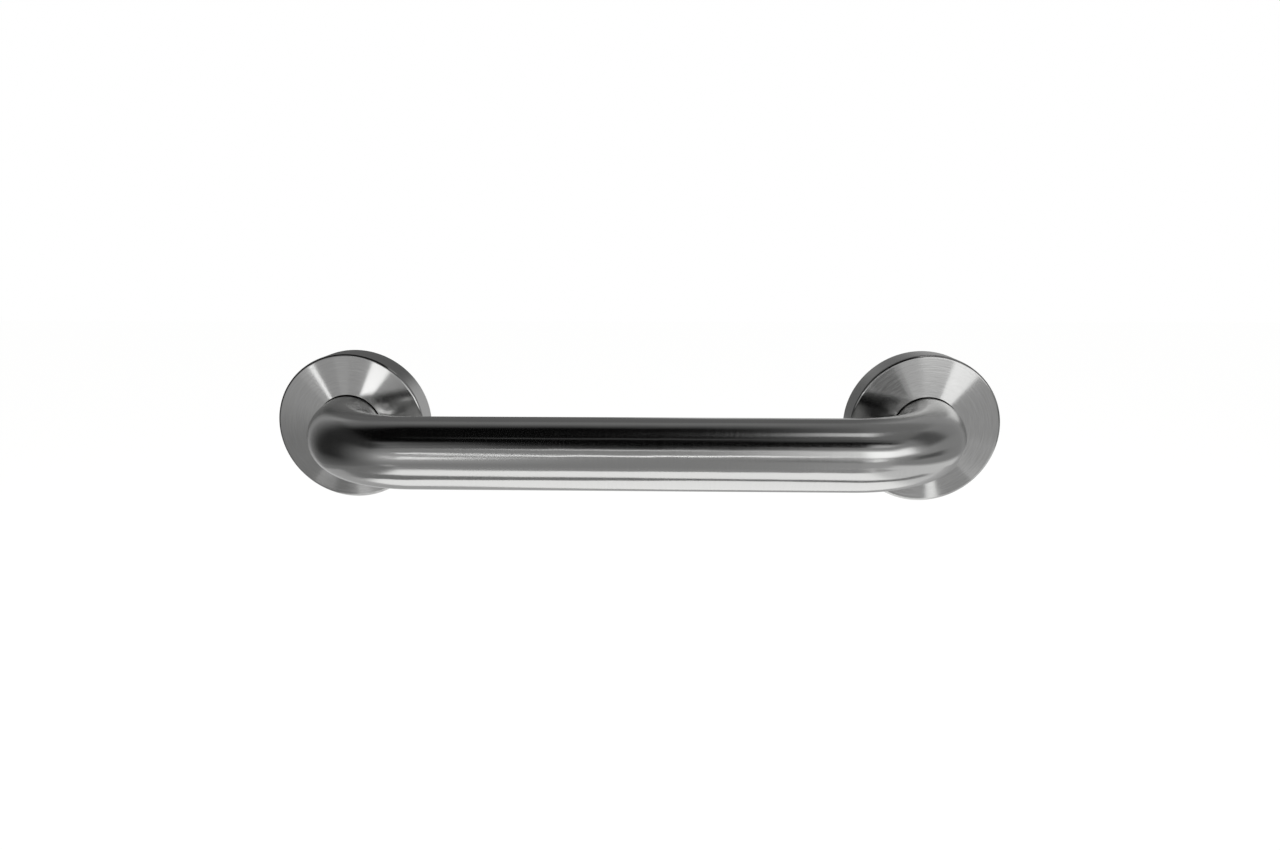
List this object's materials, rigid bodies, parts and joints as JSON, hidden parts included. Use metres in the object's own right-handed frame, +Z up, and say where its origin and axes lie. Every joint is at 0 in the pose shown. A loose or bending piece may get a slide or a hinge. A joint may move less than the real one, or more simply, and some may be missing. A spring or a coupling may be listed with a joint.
{
  "type": "grab bar",
  "caption": "Short wall-mounted grab bar: a bent stainless tube welded into round screw flanges, each hidden by a pressed sheet cover that slides along the leg.",
  "frame": {"origin": "on the wall plane, midway between the two legs: the centre of the line between the two outermost screw holes", "axes": "+X along the bar, +Y into the wall, +Z up; the bar stands off the wall towards -Y"},
  "size_m": [0.3774, 0.082, 0.0776],
  "materials": {
    "tube_steel": "satin polished stainless steel, near mirror",
    "cover_steel": "stainless sheet with fine concentric brushing",
    "flange_steel": "plain cold-rolled stainless plate",
    "weld_metal": "as-welded bead"
  },
  "bodies": {
    "bar": {"grab_bar_tube": "tube_steel", "left_mounting_flange": "flange_steel", "right_mounting_flange": "flange_steel", "left_weld_bead": "weld_metal", "right_weld_bead": "weld_metal"},
    "left_cover": {"left_flange_cover": "cover_steel"},
    "right_cover": {"right_flange_cover": "cover_steel"}
  },
  "joints": [
    {"name": "left_cover_slide", "type": "slide", "parent": "bar", "child": "left_cover", "axis": [0, -1, 0], "range_m": [0, 0.003]},
    {"name": "right_cover_slide", "type": "slide", "parent": "bar", "child": "right_cover", "axis": [0, -1, 0], "range_m": [0, 0.003]}
  ]
}
